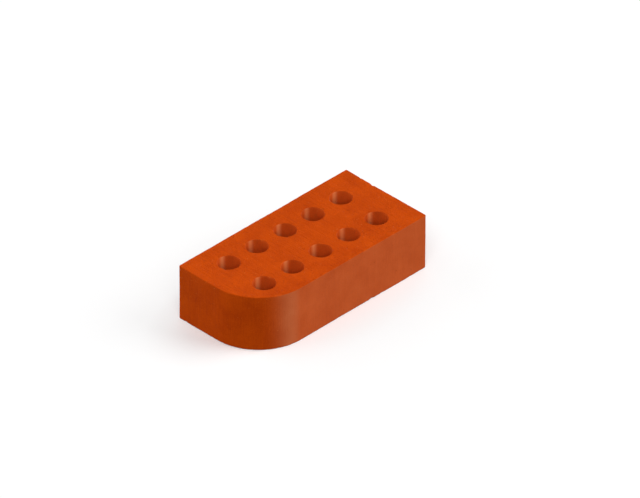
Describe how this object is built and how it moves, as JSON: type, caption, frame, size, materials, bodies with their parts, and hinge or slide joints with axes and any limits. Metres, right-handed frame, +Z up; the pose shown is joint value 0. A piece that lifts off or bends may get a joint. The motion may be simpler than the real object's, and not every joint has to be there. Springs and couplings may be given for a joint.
{
  "type": "clay bullnose brick",
  "caption": "Perforated fired-clay brick with a bullnose corner, laid in mortar where a wall's outside corner or end is rounded.",
  "frame": {"origin": "middle of the brick's plan rectangle, on the lower bed face", "axes": "+X along the length towards the square header, +Y across the width towards the back stretcher, +Z up through the perforations; the bullnose is the corner at -X, -Y"},
  "size_m": [0.22, 0.105, 0.06],
  "materials": {
    "fired_clay": "matt"
  },
  "bodies": {
    "root": {"bullnose_brick": "fired_clay"}
  },
  "joints": []
}
